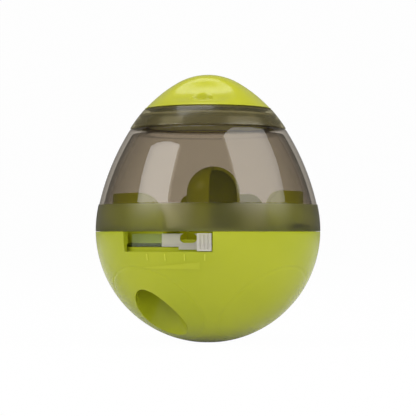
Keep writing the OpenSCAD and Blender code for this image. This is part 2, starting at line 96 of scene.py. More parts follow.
def egg_at(z, inset=0.0):
    """Radius of the egg at a height, set in by some depth: the centre of the arc that holds
    that height, plus the root of the arc's radius squared less the height over its centre
    squared."""
    h = np.asarray(z, float) - CENTRE_Z
    radius = np.zeros_like(h)
    arcs = [((0.0, 0.0), BALL_R, (BALL_R - inset) * math.sin(BALL_END)),
            (SIDE_C, SIDE_R, SIDE_C[1] + (SIDE_R - inset) * math.sin(SIDE_END)),
            (SHOULDER_C, SHOULDER_R, SHOULDER_C[1] + (SHOULDER_R - inset) * math.sin(SHOULDER_END)),
            ((0.0, CROWN_Z - CENTRE_Z), CROWN_R, math.inf)]
    low = -math.inf
    for centre, r, high in arcs:
        here = (h >= low) & (h < high)
        rise = np.clip((r - inset) ** 2 - (h - centre[1]) ** 2, 0, None)
        radius = np.where(here, centre[0] + np.sqrt(rise), radius)
        low = high
    return radius


NECK_OUT = float(egg_at(DOME_TOP)) - 5.5
NECK_IN, NECK_TOP = NECK_OUT - 2.0, DOME_TOP + 5.6
print(f"neck: {2 * NECK_OUT:.1f} mm across, up to {NECK_TOP:.1f} mm")

# %% [markdown]
# ## From arrays to meshes
# A surface is a grid of points: rows run along one parameter and columns along the other. Each
# grid becomes quads, several grids are joined into one piece, and points that coincide are
# merged, so that the seam of a turned shape closes and shades smoothly.

# %% Grid helpers
def grid_quads(rows, columns, wrap, start):
    """Corners of every quad of a grid. With wrap, the last column joins the first."""
    r, c = np.meshgrid(np.arange(rows - 1), np.arange(columns if wrap else columns - 1),
                       indexing="ij")
    right = (c + 1) % columns
    corners = [r * columns + c, r * columns + right, (r + 1) * columns + right,
               (r + 1) * columns + c]
    return np.stack(corners, axis=-1).reshape(-1, 4) + start


def mesh_piece(name, surfaces, sharp=35.0):
    """Joins grids of points in millimetres into one smooth piece. A surface is the grid,
    whether it wraps, and whether its quads are turned over to face outwards."""
    points, quads, start = [], [], 0
    for grid, wrap, flip in surfaces:
        rows, columns = grid.shape[:2]
        faces = grid_quads(rows, columns, wrap, start)
        quads.append(faces[:, ::-1] if flip else faces)
        points.append(grid.reshape(-1, 3))
        start += rows * columns
    mesh = bpy.data.meshes.new(name)
    mesh.from_pydata((np.concatenate(points) * MM).tolist(), [],
                     np.concatenate(quads).tolist())
    return finished(name, mesh, sharp)


def finished(name, mesh, sharp=35.0):
    """Merges what coincides, drops faces without area, shades smooth up to an angle."""
    tool = bmesh.new()
    tool.from_mesh(mesh)
    bmesh.ops.remove_doubles(tool, verts=tool.verts, dist=1e-6)
    bmesh.ops.dissolve_degenerate(tool, edges=tool.edges, dist=1e-7)
    tool.to_mesh(mesh)
    tool.free()
    mesh.shade_smooth()
    mesh.set_sharp_from_angle(angle=math.radians(sharp))
    piece = bpy.data.objects.new(name, mesh)
    bpy.context.scene.collection.objects.link(piece)
    print(f"{name}: {len(mesh.polygons)} faces")
    return piece


def turned(profile, columns=256):
    """Carries a profile of [radius, height] round the axis. Azimuths start at the front,
    -Y, and grow towards +X. Rows follow the profile and columns follow the azimuth."""
    azimuth = np.radians(np.linspace(0, 360.0, columns, endpoint=False))
    r, z = np.asarray(profile, float).T
    return np.stack([r[:, None] * np.sin(azimuth), -r[:, None] * np.cos(azimuth),
                     np.repeat(z[:, None], len(azimuth), axis=1)], axis=-1)


def rounded(corners, steps=5):
    """Rounds the corners of a closed outline. A corner is radius, height and the size of its
    rounding; the arc is drawn as a quadratic curve from one flank to the other."""
    line = []
    for i, (r, z, size) in enumerate(corners):
        here = np.array([r, z])
        if size <= 0:
            line.append(here)
            continue
        before = np.array(corners[i - 1][:2]) - here
        after = np.array(corners[(i + 1) % len(corners)][:2]) - here
        a = here + before / np.linalg.norm(before) * min(size, np.linalg.norm(before) / 2)
        b = here + after / np.linalg.norm(after) * min(size, np.linalg.norm(after) / 2)
        t = np.linspace(0, 1, steps)[:, None]
        line.extend((1 - t) ** 2 * a + 2 * t * (1 - t) * here + t ** 2 * b)
    return np.array(line)


def closed(profile):
    """Repeats the first point of an outline at its end."""
    return np.vstack([profile, profile[:1]])


def egg_line(low, high, inset, count):
    """Corners along the egg's outline, without rounding."""
    z = np.linspace(low, high, count)
    return [(r, h, 0.0) for r, h in zip(egg_at(z, inset), z)]


# %% [markdown]
# ## Shader maths in plain expressions
# A material's pattern is easier to read as a sum than as a string of nodes. The Value class
# wraps a socket: adding or multiplying two of them adds the Math node. Every other node comes
# from Finish.node, which takes the node's settings first and its inputs after.

# %% Finish and Value
class Value:
    """A number that varies over a surface. Its operators add Math nodes."""

    def __init__(self, finish, socket):
        self.finish, self.socket = finish, socket

    def maths(self, operation, *values):
        return self.finish.node("ShaderNodeMath", {"operation": operation},
                                dict(enumerate(values)))

    def __add__(self, other): return self.maths("ADD", self, other)
    def __radd__(self, other): return self.maths("ADD", other, self)
    def __sub__(self, other): return self.maths("SUBTRACT", self, other)
    def __rsub__(self, other): return self.maths("SUBTRACT", other, self)
    def __mul__(self, other): return self.maths("MULTIPLY", self, other)
    def __rmul__(self, other): return self.maths("MULTIPLY", other, self)
    def __truediv__(self, other): return self.maths("DIVIDE", self, other)

    def step(self, low, high):
        """0 below low, 1 above high, and a smooth rise between them."""
        return self.finish.node("ShaderNodeMapRange", {"interpolation_type": "SMOOTHSTEP"},
                                {"Value": self, "From Min": low, "From Max": high})


class Finish:
    """A material under construction: one node tree and the Value of each new node."""

    def __init__(self, name):
        self.material = bpy.data.materials.new(name)
        self.material.use_nodes = True
        self.nodes = self.material.node_tree.nodes
        self.links = self.material.node_tree.links
        self.nodes.clear()
        self.output = self.nodes.new("ShaderNodeOutputMaterial")

    def node(self, kind, settings=None, inputs=None, out=0):
        made = self.nodes.new(kind)
        for key, value in (settings or {}).items():
            setattr(made, key, value)
        for key, value in (inputs or {}).items():
            if isinstance(value, Value):
                self.links.new(value.socket, made.inputs[key])
            else:
                made.inputs[key].default_value = value
        return Value(self, made.outputs[out])

    def place(self):
        """Object coordinates, in metres, the same for every piece."""
        return self.node("ShaderNodeTexCoord", out="Object")

    def heights(self):
        """Height above the floor, in millimetres."""
        return self.node("ShaderNodeSeparateXYZ", inputs={0: self.place()}, out=2) * 1000.0

    def noise(self, scale, detail=2.0):
        """Cloudy noise around one half; scale is in waves a metre."""
        return self.node("ShaderNodeTexNoise",
                         inputs={"Vector": self.place(), "Scale": scale, "Detail": detail})

    def bump(self, height, depth):
        """Normal of a surface raised by height times depth metres."""
        return self.node("ShaderNodeBump", inputs={"Height": height, "Distance": depth,
                                                   "Strength": 1.0})

    def mix_colour(self, share, first, second):
        return self.node("ShaderNodeMix", {"data_type": "RGBA"},
                         {0: share, 6: first, 7: second}, out=2)

    def mix(self, share, first, second):
        return self.node("ShaderNodeMixShader", inputs={0: share, 1: first, 2: second})

    def show(self, shader):
        self.links.new(shader.socket, self.output.inputs["Surface"])
        return self.material


# %% [markdown]
# ## Finishes
# The green parts are glossy moulded plastic. Its colour drifts a little, and its gloss has the
# faint unevenness of a mould. The smoky plastic is seen through: light that goes straight
# through is tinted, a little is scattered, and the gloss grows towards the edges.

# %% Green plastic
def green_plastic(name, deep, pale, gloss=0.2, coat=0.05, coat_blur=0.06):
    """Opaque glossy plastic, mixed between two greens by slow clouds."""
    f = Finish(name)
    clouds = f.noise(28.0).step(0.35, 0.65)
    grain = f.noise(900.0, 3.0)
    return f.show(f.node("ShaderNodeBsdfPrincipled", inputs={
        "Base Color": f.mix_colour(clouds, deep, pale),
        "Roughness": gloss + 0.06 * f.noise(160.0),
        "Specular IOR Level": 0.25, "Coat Weight": coat, "Coat Roughness": coat_blur,
        "Subsurface Weight": 0.12, "Subsurface Radius": (1.0, 0.9, 0.1),
        "Subsurface Scale": 0.003,
        "Normal": f.bump(grain, 0.000006)}))


GREEN = green_plastic("green_shell", (0.36, 0.395, 0.014, 1), (0.385, 0.415, 0.018, 1))
# The ticks are painted a paler green than the shell: a painted highlight for the light that the
# raised marks catch.
TICK_GREEN_PAINTED_HIGHLIGHT = green_plastic("green_ticks_painted_highlight", (0.5, 0.53, 0.04, 1), (0.52, 0.55, 0.05, 1))
# The maze tray and the lid's plate are painted a lighter green than the shell: painted light,
# making up for the shade that they sit in under the smoky dome.
TRAY_GREEN_PAINTED_LIGHT = green_plastic("green_tray_painted_light", (0.47, 0.5, 0.015, 1), (0.5, 0.53, 0.018, 1))
WEDGE_GREEN = green_plastic("green_wedge", (0.4, 0.43, 0.02, 1), (0.42, 0.45, 0.024, 1))
# The cap is the same plastic as the shell, painted a lighter green: painted light, for the light
# that falls on the top of the egg from above.
CAP_GREEN_PAINTED_LIGHT = green_plastic("green_cap", (0.46, 0.47, 0.026, 1), (0.48, 0.49, 0.03, 1),
                          0.3, 0.35, 0.16)


# %% Smoky plastic
def smoky_plastic(name, tint, haze, haze_colour, rough, edge=0.5, frost_and_painted_light=None):
    """See-through plastic. A Transparent shader carries the tint, and a deeper one takes over
    where the wall is seen aslant, because light stays in it longer. A share called haze is
    scattered, and a glossy layer is mixed in: four hundredths when seen square on, and more
    with the fifth power of the slant. The last argument, if given, is a function that takes the
    finish and the body's shader and returns the body with a frosted part or with a pale part of
    painted light, and that part's mask."""
    f = Finish(name)
    clear = f.node("ShaderNodeBsdfTransparent", inputs={"Color": (*tint, 1)})
    deep = f.node("ShaderNodeBsdfTransparent",
                  inputs={"Color": (*[edge * c for c in tint], 1)})
    cloud = f.node("ShaderNodeBsdfDiffuse", inputs={"Color": (*haze_colour, 1)})
    slant = f.node("ShaderNodeLayerWeight", inputs={"Blend": 0.5}, out="Facing")
    body = f.mix(haze, f.mix(slant.maths("POWER", slant, 2.5), clear, deep), cloud)
    mirror = 0.04 + 0.25 * slant.maths("POWER", slant, 5.0)
    roughness = rough
    if frost_and_painted_light is not None:
        body, mask = frost_and_painted_light(f, body)
        roughness = rough + 0.3 * mask
    gloss = f.node("ShaderNodeBsdfGlossy", inputs={"Color": (1, 1, 1, 1),
                                                   "Roughness": roughness})
    return f.show(f.mix(mirror, body, gloss))


def frosted_band(f, body):
    """The band at the dome's foot: rough inside, so that what is behind it is blurred."""
    mask = 1 - f.heights().step(BAND_TOP - 0.5, BAND_TOP - 0.2)
    blurred = f.node("ShaderNodeBsdfRefraction", inputs={"Color": (0.76, 0.75, 0.58, 1),
                                                         "Roughness": 0.35, "IOR": 1.35})
    return f.mix(0.8 * mask, body, blurred), mask


def painted_light_sector(f, body):
    """The part of the shutter's ring beside its tab, between two azimuths, is painted pale: painted
    light that stands in for the brightness seen in that part of the ring.
    """
    x, y = [f.node("ShaderNodeSeparateXYZ", inputs={0: f.place()}, out=i) for i in (0, 1)]
    azimuth = x.maths("ARCTAN2", x, -1.0 * y) * (180 / math.pi)
    mask = azimuth.step(-24.8, -24.3) * (1 - azimuth.step(-5.2, -4.8))
    painted_pale = f.node("ShaderNodeBsdfDiffuse", inputs={"Color": (0.6, 0.56, 0.48, 1)})
    return f.mix(0.55 * mask, body, painted_pale), mask


SMOKE = smoky_plastic("smoke_clear", (0.73, 0.69, 0.63), 0.015, (0.16, 0.14, 0.11), 0.03,
                      frost_and_painted_light=frosted_band)
FROSTED = smoky_plastic("smoke_frosted", (0.82, 0.78, 0.6), 0.18, (0.24, 0.215, 0.11), 0.19, 0.4)
# The shutter's ring carries a pale sector of painted light beside its tab.
SHUTTER_SMOKE_PAINTED_LIGHT = smoky_plastic("shutter_clear", (0.9, 0.94, 0.84), 0.12, (0.46, 0.52, 0.36), 0.12, 0.85,
                      painted_light_sector)
TAB_MILKY = smoky_plastic("shutter_tab", (0.9, 0.9, 0.86), 0.55, (0.74, 0.7, 0.63), 0.15, 0.85)


# %% Finishes of the hidden pieces
def turned_steel(name, colour, roughness):
    """Steel with fine rings from the lathe, drawn as waves around the axis."""
    f = Finish(name)
    rings = f.node("ShaderNodeTexWave", {"wave_type": "RINGS", "rings_direction": "Z"},
                   {"Vector": f.place(), "Scale": 900.0, "Distortion": 0.3})
    return f.show(f.node("ShaderNodeBsdfPrincipled", inputs={
        "Base Color": (*colour, 1), "Metallic": 1.0,
        "Roughness": roughness + 0.1 * rings, "Normal": f.bump(rings, 0.00001)}))


def matt_plastic(name, colour, roughness, grain_depth):
    """Matt moulding with an even grain."""
    f = Finish(name)
    grain = f.noise(1500.0, 3.0)
    return f.show(f.node("ShaderNodeBsdfPrincipled", inputs={
        "Base Color": f.mix_colour(grain, (*colour, 1), tuple(0.85 * c for c in colour) + (1,)),
        "Roughness": roughness, "Normal": f.bump(grain, grain_depth)}))


WEIGHT_STEEL = turned_steel("weight_steel", (0.45, 0.45, 0.46), 0.35)
SCREW_STEEL = turned_steel("screw_steel", (0.6, 0.6, 0.6), 0.2)
GREY = matt_plastic("grey_plastic", (0.5, 0.5, 0.48), 0.6, 0.00002)
RUBBER = matt_plastic("seal_rubber", (0.5, 0.5, 0.48), 0.75, 0.00003)
FINISHES = {"green_shell": GREEN, "green_cap": CAP_GREEN_PAINTED_LIGHT, "smoke_clear": SMOKE,
            "smoke_frosted": FROSTED, "shutter_clear": SHUTTER_SMOKE_PAINTED_LIGHT, "grey_plastic": GREY,
            "weight_steel": WEIGHT_STEEL, "screw_steel": SCREW_STEEL, "seal_rubber": RUBBER}
print("finishes:", ", ".join(FINISHES))

# %% [markdown]
# ## Who rides on whom
# A new piece is dressed from the solid that it stands for: it moves with that solid's body,
# takes the finish of that solid's material slot in the record, and the solid is hidden.

# %% Dressing a piece
BODY_OF = {node: body for body, nodes in frame["record"]["behaviour"]["bodies"].items()
           for node in nodes}
SLOT_OF = {part["node"]: part["material_slot"] for part in frame["record"]["subparts"]}


def dress(piece, node):
    """Gives a piece the finish of its node's slot and its node's body, and hides the node that it
    stands for.
    """
    slot = SLOT_OF[node]
    piece.data.materials.clear()
    piece.data.materials.append(FINISHES[slot])
    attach(piece, BODY_OF[node])
    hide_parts(node)
    return piece


def solid_mesh(node, keep):
    """A merged copy of a solid's mesh. keep, if given, is a function of the corners of all
    triangles, in millimetres, that returns which ones stay."""
    mesh = frame["nodes"][node].data.copy()
    mesh.materials.clear()
    tool = bmesh.new()
    tool.from_mesh(mesh)
    bmesh.ops.remove_doubles(tool, verts=tool.verts, dist=2e-6)
    if keep is not None:
        tool.faces.ensure_lookup_table()
        corners = np.array([[v.co for v in f.verts] for f in tool.faces]) / MM
        stays = keep(corners)
        gone = [f for f, s in zip(tool.faces, stays) if not s]
        bmesh.ops.delete(tool, geom=gone, context="FACES")
    tool.to_mesh(mesh)
    tool.free()
    return mesh


def smooth_copy(name, node, keep=None, sharp=35.0):
    """A solid's own shape, merged and shaded smooth, as a piece."""
    mesh = solid_mesh(node, keep)
    for layer in list(mesh.attributes):
        if layer.name == "custom_normal":
            mesh.attributes.remove(layer)
    return finished(name, mesh, sharp)


# %% [markdown]
# ## The bowl
# The bowl is half a ball with a slanting mouth near its foot. Its skin could be the solid's own
# triangles, but a glossy ball shows each of them, and the mouth needs a soft lip. So the skin
# is drawn anew: arcs run from the lip, over the foot, up to the level of the window's sill. The
# lip is a small ball rolled along the edge, and the bore follows straight up.

# %% Skin of the bowl
LIP_R = 0.4
CENTRE = np.array([0.0, 0.0, CENTRE_Z])
CHUTE_XY = CHUTE_AT * np.array([math.sin(math.radians(CHUTE_AZIMUTH)),
                                -math.cos(math.radians(CHUTE_AZIMUTH))])
MOUTH_LONG, MOUTH_WIDE, MOUTH_TURN = 11.2, 10.2, math.radians(18.0)
CIRCLE_ANGLE, CIRCLE_AZIMUTH = math.radians(26.5), -42.0
VALLEY_DEPTH, VALLEY_WIDTH = 0.16, 0.55
FLARE_LENGTH = 6.0


def bowl_azimuths():
    """Azimuths of the skin's columns: evenly spaced in the window and outside it."""
    window = np.linspace(WINDOW_LEFT, WINDOW_RIGHT, 65)[:-1]
    wall = np.linspace(WINDOW_RIGHT, WINDOW_LEFT + 360, 417)[:-1]
    return np.radians(np.concatenate([window, wall])), len(window)


def mouth_reach(ray):
    """Distance from the chute's axis to the mouth's rim: an ellipse seen from above, a little
    wider than the bore towards the front left and the back right."""
    along = ray[:, 0] * math.cos(MOUTH_TURN) + ray[:, 1] * math.sin(MOUTH_TURN)
    across = ray[:, 1] * math.cos(MOUTH_TURN) - ray[:, 0] * math.sin(MOUTH_TURN)
    return 1 / np.sqrt((along / MOUTH_LONG) ** 2 + (across / MOUTH_WIDE) ** 2)


def lip_path(azimuth):
    """Where the rolling ball's middle goes. Each ray from the chute's axis towards a point of
    the sill carries it just outside the mouth's rim, at the depth where it touches the skin
    from inside."""
    sill_r = math.sqrt(BALL_R ** 2 - (CENTRE_Z - SILL_Z) ** 2)
    sill = np.stack([sill_r * np.sin(azimuth), -sill_r * np.cos(azimuth)], axis=-1)
    ray = sill - CHUTE_XY
    ray /= np.linalg.norm(ray, axis=-1, keepdims=True)
    middle = CHUTE_XY + (mouth_reach(ray) + LIP_R)[:, None] * ray
    depth = np.sqrt((BALL_R - LIP_R) ** 2 - (middle ** 2).sum(-1))
    return np.column_stack([middle, CENTRE_Z - depth]), ray, sill


def between(first, second, share):
    """Directions on the great circle from one unit vector to another."""
    angle = np.arccos(np.clip((first * second).sum(-1), -1, 1))[..., None]
    return (np.sin((1 - share) * angle) * first + np.sin(share * angle) * second) / np.sin(angle)


def skin_radius(direction):
    """The ball's radius, less a shallow valley along the four moulded circles."""
    radius = np.full(direction.shape[:-1], BALL_R)
    for i in range(4):
        a = math.radians(CIRCLE_AZIMUTH + 90 * i)
        axis = np.array([math.sin(a), -math.cos(a), -1.0]) / math.sqrt(2)
        apart = np.arccos(np.clip(direction @ axis, -1, 1)) - CIRCLE_ANGLE
        radius -= VALLEY_DEPTH * np.exp(-(BALL_R * apart / VALLEY_WIDTH) ** 2)
    return radius


def flare(bottom, top):
    """The bore, from the lip straight up. The mouth's extra width fades within the flare's
    length, with the square of the way that is left."""
    z = bottom[:, 2] + (top[:, 2] - bottom[:, 2]) * np.linspace(0, 1, 25)[:, None] ** 1.5
    left = np.clip(1 - (z - bottom[:, 2]) / FLARE_LENGTH, 0, 1)[..., None] ** 2
    plan = top[:, :2] + left * (bottom - top)[:, :2]
    return np.concatenate([plan, z[..., None]], axis=-1)


def bowl_skin():
    """The skin below the sill, the lip, the bore, and the band beside the window."""
    azimuth, window_columns = bowl_azimuths()
    middle, ray, sill = lip_path(azimuth)
    lip = (middle - CENTRE) / np.linalg.norm(middle - CENTRE, axis=-1, keepdims=True)
    edge = np.column_stack([sill, np.full(len(sill), SILL_Z)]) - CENTRE
    edge /= np.linalg.norm(edge, axis=-1, keepdims=True)
    share = np.linspace(0, 1, 150)[:, None, None] ** 1.25
    direction = between(lip, edge, share)
    skin = CENTRE + skin_radius(direction)[..., None] * direction
    skin[..., 2] = np.maximum(skin[..., 2], 0.0)
    inward = np.column_stack([-ray, np.zeros(len(ray))])
    roll = between(lip, inward, np.linspace(0, 1, 9)[:, None, None])
    fillet = middle + LIP_R * roll
    bottom = fillet[-1]
    bore = flare(bottom, np.column_stack([CHUTE_XY + CHUTE_R * ray, np.full(len(ray), LEDGE_Z)]))
    outer = [(z, egg_at(z)) for z in np.linspace(SILL_Z, RIM_Z - SEAM_ROUND, 22)]
    edge_turn = np.linspace(0, math.pi / 2, 6)[1:]
    turn_r = float(egg_at(RIM_Z - SEAM_ROUND)) - SEAM_ROUND
    rim = [(RIM_Z - SEAM_ROUND * (1 - math.sin(t)), turn_r + SEAM_ROUND * math.cos(t))
           for t in edge_turn] + [(RIM_Z, SPIGOT_R - 0.05)]
    z, r = np.array(outer + rim, float).T
    around = np.append(azimuth[window_columns:], azimuth[0] + 2 * math.pi)
    band = np.stack([r[:, None] * np.sin(around), -r[:, None] * np.cos(around),
                     np.repeat(z[:, None], len(around), axis=1)], axis=-1)
    return mesh_piece("bowl_skin", [(skin, True, False), (fillet, True, True),
                                    (bore, True, True), (band, False, False)], sharp=50.0)


def bowl_core_keeps(corners):
    """Which triangles of the solid bowl stay: not the outer skin, the bore or the rim."""
    from_centre = np.linalg.norm(corners - CENTRE, axis=-1)
    z = corners[..., 2]
    level = np.ptp(z, axis=1) < 0.02
    azimuth = np.degrees(np.arctan2(corners[..., 0], -corners[..., 1]))
    jamb = ((abs(azimuth - WINDOW_LEFT) < 0.05) | (abs(azimuth - WINDOW_RIGHT) < 0.05)).all(1)
    on_skin = ((from_centre > 49.3) & (from_centre < 50.03) & (z < RIM_Z + 0.01)).all(1)
    on_skin &= ~(level & (abs(z[:, 0] - SILL_Z) < 0.02)) & ~jamb
    on_foot = level & (z[:, 0] < 0.02)
    on_rim = level & (abs(z[:, 0] - RIM_Z) < 0.02) & \
        (np.linalg.norm(corners[..., :2], axis=-1) > SPIGOT_R - 0.1).all(1)
    from_chute = np.linalg.norm(corners[..., :2] - CHUTE_XY, axis=-1)
    on_bore = (abs(from_chute - CHUTE_R) < 0.05).all(1) & ~level
    return ~(on_skin | on_foot | on_rim | on_bore | proud(corners))


def proud(corners):
    """Which triangles belong to the raised marks under the window."""
    return (np.linalg.norm(corners - CENTRE, axis=-1) > BALL_R + 0.03).any(1) & \
        (corners[..., 2] < SILL_Z).all(1)


dress(bowl_skin(), "bowl")
dress(smooth_copy("bowl_core", "bowl", bowl_core_keeps), "bowl")
ticks = smooth_copy("bowl_ticks", "bowl", lambda c: proud(c) & (c[:, 0, 2] > TICKS_Z))
wedge = smooth_copy("bowl_wedge", "bowl", lambda c: proud(c) & (c[:, 0, 2] < TICKS_Z))
# The ticks take the paler green of their painted highlight.
for piece, finish in ((ticks, TICK_GREEN_PAINTED_HIGHLIGHT), (wedge, WEDGE_GREEN)):
    dress(piece, "bowl")
    piece.data.materials[0] = finish

# %% [markdown]
# ## The dome
# The dome is one clear moulding. It is a turned shape, so its outline is drawn once, inside and
# out, and carried round. A low step parts the frosted band from the clear shell, and the edge
# above the lid's seam is rounded, because it catches the light there. Its foot is drawn a
# little lower than the solid's, so that no daylight shows through the seam at the sides.

# %% Dome
FOOT_IN = SPIGOT_R + 0.4


def dome_profile():
    """Outline of the wall: up the outside, over the neck and down the inside."""
    inner = BAND_STEP + DOME_WALL
    foot = DOME_Z - FOOT_DROP
    corners = [(FOOT_IN, foot, 0.0), (float(egg_at(foot)), foot, SEAM_ROUND)]
    corners += egg_line(DOME_Z + 0.6, BAND_TOP - 0.55, 0.0, 14)
    corners += [(float(egg_at(BAND_TOP - 0.15)), BAND_TOP - 0.15, 0.25),
                (float(egg_at(BAND_TOP, BAND_STEP)), BAND_TOP, 0.15)]
    corners += egg_line(BAND_TOP + 0.4, DOME_TOP - 1.2, BAND_STEP, 48)
    corners += [(float(egg_at(DOME_TOP, BAND_STEP)), DOME_TOP, 0.8), (NECK_OUT, DOME_TOP, 0.3),
                (NECK_OUT, NECK_TOP, 0.4), (NECK_IN, NECK_TOP, 0.2),
                (NECK_IN, DOME_TOP - 2.2, 0.4), (float(egg_at(DOME_TOP - 2.2, inner)),
                                                 DOME_TOP - 2.2, 0.5)]
    corners += egg_line(DOME_TOP - 3.2, RIM_Z + 2.4, inner, 54)
    step = SPIGOT_TOP + 0.4
    corners += [(float(egg_at(step, inner)), step, 0.0), (FOOT_IN, step, 0.2)]
    return closed(rounded(corners))


dome = mesh_piece("dome_shell", [(turned(dome_profile()), True, False)])
dress(dome, "dome")

# %% [markdown]
# ## The lid ring
# The smoky ring under the cap is satin, and the neck's thread shows through it as pale lines.
# The thread is two short helical ridges on the dome's neck, half round in section.

# %% Lid ring and thread
def lid_ring_profile():
    """Outline of the ring: a skirt over the neck, and the web that the seal presses on."""
    bore, web_z = NECK_OUT + 0.8, NECK_TOP + 0.9
    skirt = float(egg_at(LID_RING_TOP)) - 2.6
    corners = [(bore, LID_Z, 0.2), (bore + 1.4, LID_Z, 0.2), (bore + 1.4, LID_Z + 3.6, 0.2),
               (bore + 1.7, LID_Z + 3.6, 0.1), (float(egg_at(LID_Z)) - 1.9, LID_Z, 0.2),
               (float(egg_at(LID_Z)), LID_Z, 0.4)]
    corners += egg_line(LID_Z + 0.5, LID_RING_TOP - 0.6, 0.0, 12)
    corners += [(float(egg_at(LID_RING_TOP)), LID_RING_TOP, 0.4), (skirt, LID_RING_TOP, 0.2),
                (skirt, web_z + 1.7, 0.2), (NECK_IN - 4.9, web_z + 1.7, 0.2),
                (NECK_IN - 4.9, web_z, 0.2), (bore, web_z, 0.3)]
    return closed(rounded(corners))


def thread_ridge(first):
    """A half-round ridge that climbs round the neck for three quarters of a turn and fades at
    both ends."""
    turn = np.linspace(0, 0.75, 90)
    size = 0.55 * np.clip(np.minimum(turn, 0.75 - turn) / 0.03, 0.05, 1)
    across = np.linspace(-math.pi / 2, math.pi / 2, 9)
    azimuth = (math.radians(first) + 2 * math.pi * turn)[:, None]
    r = NECK_OUT - 0.02 + size[:, None] * np.cos(across)
    z = DOME_TOP + 0.9 + 6 * turn[:, None] * 0.72 + size[:, None] * np.sin(across)
    return np.stack([r * np.sin(azimuth), -r * np.cos(azimuth), z], axis=-1)


dress(mesh_piece("lid_ring", [(turned(lid_ring_profile()), True, False)]), "lid_ring")
thread = mesh_piece("neck_thread", [(thread_ridge(a), False, True) for a in (200.0, 20.0)])
dress(thread, "dome")

# %% [markdown]
# ## The cap
# Two finger scoops are pressed into the crown. Each is the mark of a round-ended rod, and its
# rim is softened. The surface is found along rays from a point inside the cap: on each ray the
# blend of the crown and the rods is halved in until it is zero, for all rays at once.

# %% Cap
SCOOP_R, SCOOP_HALF, SCOOP_DEPTH, SCOOP_AZIMUTH = 15.0, 8.0, 3.6, -8.0
SCOOP_LEVEL = EGG_TOP - 6.6
SCOOP_C = np.array([float(egg_at(SCOOP_LEVEL)), SCOOP_LEVEL]) + \
    (SCOOP_R - SCOOP_DEPTH) * unit(math.radians(51.0))
POCKET_R, POCKET_AT, POCKET_Z = 4.6, 20.1, EGG_TOP - 12.5
SCOOP_SOFT, POCKET_SOFT, SKIN_NEAR = 2.4, 0.3, 0.3


def smooth_most(a, b, size):
    """The larger of two fields, with a rounding of about the given size where they meet."""
    return 0.5 * (a + b + np.sqrt((a - b) ** 2 + size ** 2))


def cap_field(points, soft=1.0):
    """Below zero inside the cap: the depth under the crown, and the depth outside each rod,
    joined with a soft rim. A softness of zero gives the sharp edges of the solid."""
    r = np.linalg.norm(points[..., :2], axis=-1)
    z = points[..., 2]
    field = np.hypot(r, z - CROWN_Z) - CROWN_R
    low = z < CENTRE_Z + SHOULDER_C[1] + SHOULDER_R * math.sin(SHOULDER_END)
    from_shoulder = np.hypot(r - SHOULDER_C[0], z - CENTRE_Z - SHOULDER_C[1]) - SHOULDER_R
    field = np.where(low, from_shoulder, field)
    for side in (0, 180):
        a = math.radians(SCOOP_AZIMUTH + side)
        along = points[..., 0] * math.cos(a) + points[..., 1] * math.sin(a)
        out = points[..., 0] * math.sin(a) - points[..., 1] * math.cos(a)
        past = np.clip(abs(along) - SCOOP_HALF, 0, None)
        from_rod = np.sqrt(past ** 2 + (out - SCOOP_C[0]) ** 2 + (z - SCOOP_C[1]) ** 2)
        field = smooth_most(field, SCOOP_R - from_rod, SCOOP_SOFT * soft)
        from_pocket = np.hypot(along, out - POCKET_AT)
        in_pocket = smooth_most(from_pocket - POCKET_R, POCKET_Z - z, POCKET_SOFT * soft)
        field = smooth_most(field, -in_pocket, POCKET_SOFT * soft)
    return field


def cap_skin():
    """Outer surface of the cap, from its edge to the top, with its edge turned in."""
    start = np.array([0.0, 0.0, CAP_Z - 9.0])
    edge_r = float(egg_at(CAP_Z))
    low = math.atan2(CAP_Z + 0.4 - start[2], edge_r - 0.2)
    rise = np.linspace(low, math.pi / 2, 200)[:, None]
    azimuth = np.linspace(0, 2 * math.pi, 420, endpoint=False)
    ray = np.stack([np.cos(rise) * np.sin(azimuth), -np.cos(rise) * np.cos(azimuth),
                    np.sin(rise) * np.ones_like(azimuth)], axis=-1)
    near, far = np.full(ray.shape[:2], 8.0), np.full(ray.shape[:2], 34.0)
    for _ in range(40):
        half = (near + far) / 2
        inside = cap_field(start + half[..., None] * ray) < 0
        near, far = np.where(inside, half, near), np.where(inside, far, half)
    top = start + near[..., None] * ray
    foot = top[0]
    out = foot[:, :2] / np.linalg.norm(foot[:, :2], axis=-1, keepdims=True)
    turn_in = [np.column_stack([out * (edge_r - 2.0), np.full(len(out), CAP_Z)]),
               np.column_stack([out * (edge_r - 0.25), np.full(len(out), CAP_Z)]),
               np.column_stack([out * (edge_r - 0.03), np.full(len(out), CAP_Z + 0.15)])]
    return mesh_piece("cap_skin", [(np.concatenate([turn_in, top]), True, False)], sharp=60.0)


def cap_core_keeps(corners):
    """Which triangles of the solid cap stay: all but the outer skin and the edge below it."""
    level = np.ptp(corners[..., 2], axis=1) < 0.02
    on_edge = level & (abs(corners[:, 0, 2] - CAP_Z) < 0.02)
    on_skin = (abs(cap_field(corners, 0.0)) < SKIN_NEAR).all(1)
    return ~(on_skin | on_edge)


dress(cap_skin(), "lid_cap")
dress(smooth_copy("cap_core", "lid_cap", cap_core_keeps), "lid_cap")

# %% [markdown]
# ## The maze tray, the lid's plate and the shutter
# They keep the shape of their solids. The solid's loose triangles are merged and shaded smooth,
# so the hood and the fences read as round walls through the smoky dome. The hidden pieces, with
# the bayonet tongues, keep their solids as they are and only take a finish.

# %% Pieces that keep their solid's shape
TAB_R, TAB_AZIMUTH, TAB_SPAN = 46.7, -1.8, 4.6


def in_tab(corners):
    """Which triangles of the shutter belong to its tab, in front of the ring."""
    azimuth = np.degrees(np.arctan2(corners[..., 0], -corners[..., 1]))
    out = np.linalg.norm(corners[..., :2], axis=-1)
    return (out > TAB_R).all(1) & (abs(azimuth - TAB_AZIMUTH) < TAB_SPAN).all(1)


